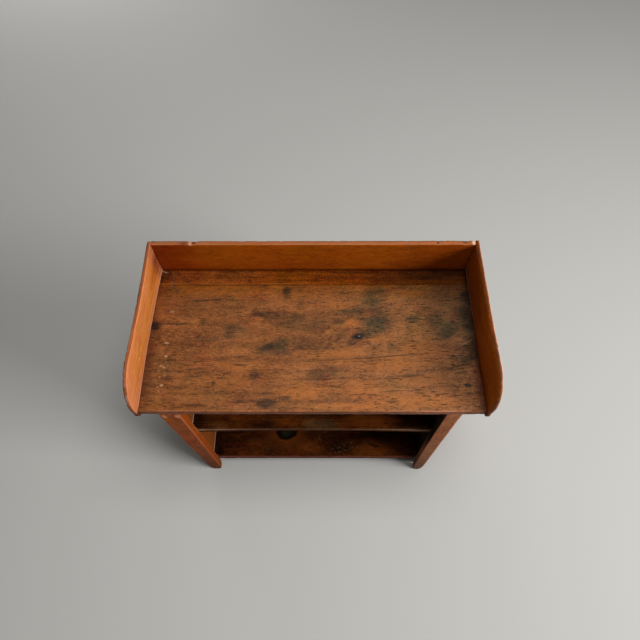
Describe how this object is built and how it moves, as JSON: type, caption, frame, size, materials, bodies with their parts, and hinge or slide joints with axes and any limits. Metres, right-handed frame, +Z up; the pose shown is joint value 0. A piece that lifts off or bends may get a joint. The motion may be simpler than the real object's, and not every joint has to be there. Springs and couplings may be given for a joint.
{
  "type": "bucket bench",
  "caption": "Nailed pine bucket bench: a top tray with a low gallery round back and ends, over an open-fronted case of shelves with a boarded back.",
  "frame": {"origin": "centre of the footprint, on the floor", "axes": "+Z up, front of the bench towards -Y, +X to its right seen from the front"},
  "size_m": [0.781, 0.387, 0.685],
  "materials": {
    "top_boards": "old pine, worn satin, mid brown with dark water stains",
    "gallery_boards": "old pine, satin shellac, orange brown, arrises worn pale",
    "case_boards": "old pine, worn satin, red brown",
    "shelf_boards": "old pine, dark and stained, nearly matt",
    "back_boards": "old pine, dry and dark, matt",
    "nail_iron": "rusted cut nails, dark and matt"
  },
  "bodies": {
    "root": {"top_front_board": "top_boards", "top_rear_strip": "top_boards", "gallery_back_board": "gallery_boards", "gallery_left_side": "gallery_boards", "gallery_right_side": "gallery_boards", "upper_shelf": "shelf_boards", "lower_shelf": "shelf_boards", "left_end_board": "case_boards", "right_end_board": "case_boards", "left_front_stile": "case_boards", "right_front_stile": "case_boards", "back_board_1": "back_boards", "back_board_2": "back_boards", "back_board_3": "back_boards", "gallery_back_nails": "nail_iron", "shelf_back_nails": "nail_iron", "top_nails_left": "nail_iron", "gallery_side_nails_left": "nail_iron", "gallery_corner_nails_left": "nail_iron", "stile_nails_left": "nail_iron", "lower_shelf_nails_left": "nail_iron", "upper_shelf_nails_left": "nail_iron", "top_nails_right": "nail_iron", "gallery_side_nails_right": "nail_iron", "gallery_corner_nails_right": "nail_iron", "stile_nails_right": "nail_iron", "lower_shelf_nails_right": "nail_iron", "upper_shelf_nails_right": "nail_iron", "back_board_nails_1": "nail_iron", "back_board_nails_2": "nail_iron", "back_board_nails_3": "nail_iron"}
  },
  "joints": []
}
